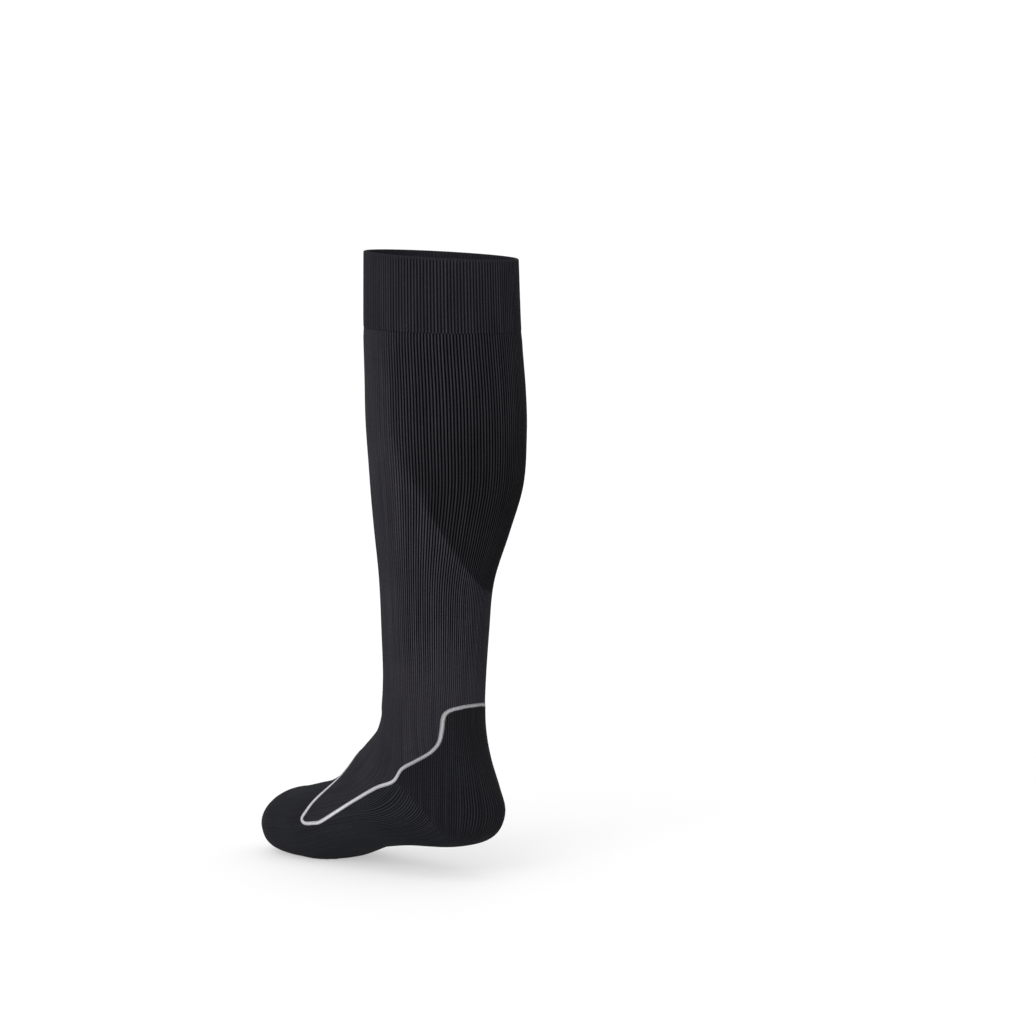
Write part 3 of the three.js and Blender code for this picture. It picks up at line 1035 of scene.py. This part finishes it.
class STOCKING_OT_leg(Operator):
    """Knit the charcoal leg with its instep tongue"""

    bl_idname = "stocking.leg"
    bl_label = "Leg"

    def execute(self, context):
        sizes, colours = context.scene.stocking_sizes, context.scene.stocking_colours
        corners = cut(leg_corners(sizes), PANEL_SIDE, -SEAM, above=False)
        finish = knit_finish("leg_knit", colours.leg, colours.panel)
        piece = shell("charcoal_leg", corners, finish)
        wear(piece, "leg")
        return {"FINISHED"}


class STOCKING_OT_foot(Operator):
    """Knit the cushioned heel, sole and toe"""

    bl_idname = "stocking.foot"
    bl_label = "Foot"

    def execute(self, context):
        sizes, colours = context.scene.stocking_sizes, context.scene.stocking_colours
        finish = knit_finish("foot_knit", colours.foot, colours.panel)
        piece = shell("cushioned_foot", foot_corners(sizes), finish)
        wear(piece, "foot")
        return {"FINISHED"}


class STOCKING_OT_contour_line(Operator):
    """Knit the narrow light line between leg and foot"""

    bl_idname = "stocking.contour_line"
    bl_label = "Contour line"

    def execute(self, context):
        sizes, colours = context.scene.stocking_sizes, context.scene.stocking_colours
        finish = knit_finish("line_knit", colours.line, colours.heel_line)
        piece = shell("light_contour_line", line_corners(sizes), finish)
        wear(piece, "contour_line")
        return {"FINISHED"}


class STOCKING_OT_stage(Operator):
    """Set the camera, the pale floor and the soft studio light"""

    bl_idname = "stocking.stage"
    bl_label = "Stage"

    def execute(self, context):
        scene, studio = context.scene, context.scene.stocking_studio
        floor_height = -GRIP_HEIGHT * MILLIMETRE
        target = Vector((0, 0, floor_height + SHIN_HEIGHT))
        flat = math.cos(studio.elevation)
        toward = Vector((
            math.sin(studio.azimuth) * flat,
            -math.cos(studio.azimuth) * flat,
            math.sin(studio.elevation),
        ))
        lens = bpy.data.cameras.new("camera")
        lens.sensor_width = SENSOR_WIDTH
        lens.lens = lens.sensor_width * studio.distance / studio.frame_width
        lens.clip_end = FARTHEST
        lens.shift_x = SHIFT_RIGHT / PICTURE_WIDTH
        lens.shift_y = SHIFT_UP / PICTURE_WIDTH
        camera = bpy.data.objects.new("camera", lens)
        camera.location = target + toward * studio.distance
        camera.rotation_euler = (-toward).to_track_quat("-Z", "Y").to_euler()
        scene.collection.objects.link(camera)
        scene.camera = camera

        mesh = bpy.data.meshes.new("floor")
        signs = ((-1, -1), (1, -1), (1, 1), (-1, 1))
        level = floor_height - FLOOR_DROP
        corners = [(x * FLOOR_REACH, y * FLOOR_REACH, level) for x, y in signs]
        mesh.from_pydata(corners, [], [(0, 1, 2, 3)])
        finish = Finish("pale_floor")
        finish.shader.inputs["Base Color"].default_value = opaque(studio.floor)
        finish.shader.inputs["Roughness"].default_value = FLOOR_ROUGHNESS
        finish.shader.inputs["Specular IOR Level"].default_value = FLOOR_SPECULAR
        finish.shader.inputs["Emission Color"].default_value = opaque(studio.backdrop)
        finish.shader.inputs["Emission Strength"].default_value = FLOOR_GLOW
        mesh.materials.append(finish.material)
        floor = bpy.data.objects.new("floor", mesh)
        scene.collection.objects.link(floor)

        world = bpy.data.worlds.new("studio")
        world.use_nodes = True
        surroundings = world.node_tree.nodes["Background"]
        surroundings.inputs["Color"].default_value = opaque(studio.backdrop)
        surroundings.inputs["Strength"].default_value = 1.0
        scene.world = world
        scene.view_settings.view_transform = "Standard"
        scene.view_settings.look = "None"

        for name, (strength, softness, side) in LIGHTS.items():
            light = bpy.data.lights.new(name, "SUN")
            light.energy = strength
            light.angle = math.radians(softness)
            lamp = bpy.data.objects.new(name, light)
            lamp.rotation_euler = Vector(side).to_track_quat("Z", "Y").to_euler()
            scene.collection.objects.link(lamp)
        return {"FINISHED"}


class STOCKING_PT_sidebar(Panel):
    """Sizes, colours and pieces of the stocking."""

    bl_label = "Compression stocking"
    bl_idname = "STOCKING_PT_sidebar"
    bl_space_type = "VIEW_3D"
    bl_region_type = "UI"
    bl_category = "Stocking"

    def draw(self, context):
        column = self.layout.column()
        for group in (
            context.scene.stocking_sizes,
            context.scene.stocking_colours,
            context.scene.stocking_studio,
        ):
            box = column.box()
            for name in group.__annotations__:
                box.prop(group, name)
        for operator in OPERATORS:
            column.operator(operator.bl_idname)


GROUPS = {
    "stocking_sizes": StockingSizes,
    "stocking_colours": StockingColours,
    "stocking_studio": StudioSettings,
}
OPERATORS = (
    STOCKING_OT_top_band,
    STOCKING_OT_calf_panel,
    STOCKING_OT_leg,
    STOCKING_OT_contour_line,
    STOCKING_OT_foot,
    STOCKING_OT_stage,
)


def register():
    """Adds the settings, the operators and the sidebar panel."""
    for name, group in GROUPS.items():
        bpy.utils.register_class(group)
        setattr(bpy.types.Scene, name, PointerProperty(type=group))
    for operator in OPERATORS:
        bpy.utils.register_class(operator)
    bpy.utils.register_class(STOCKING_PT_sidebar)


def unregister():
    """Takes them away again."""
    bpy.utils.unregister_class(STOCKING_PT_sidebar)
    for operator in reversed(OPERATORS):
        bpy.utils.unregister_class(operator)
    for name, group in reversed(GROUPS.items()):
        delattr(bpy.types.Scene, name)
        bpy.utils.unregister_class(group)


def main():
    """Makes the stocking and its studio."""
    register()
    bpy.ops.stocking.top_band()
    bpy.ops.stocking.calf_panel()
    bpy.ops.stocking.leg()
    bpy.ops.stocking.contour_line()
    bpy.ops.stocking.foot()
    bpy.ops.stocking.stage()


if __name__ == "__main__":
    main()
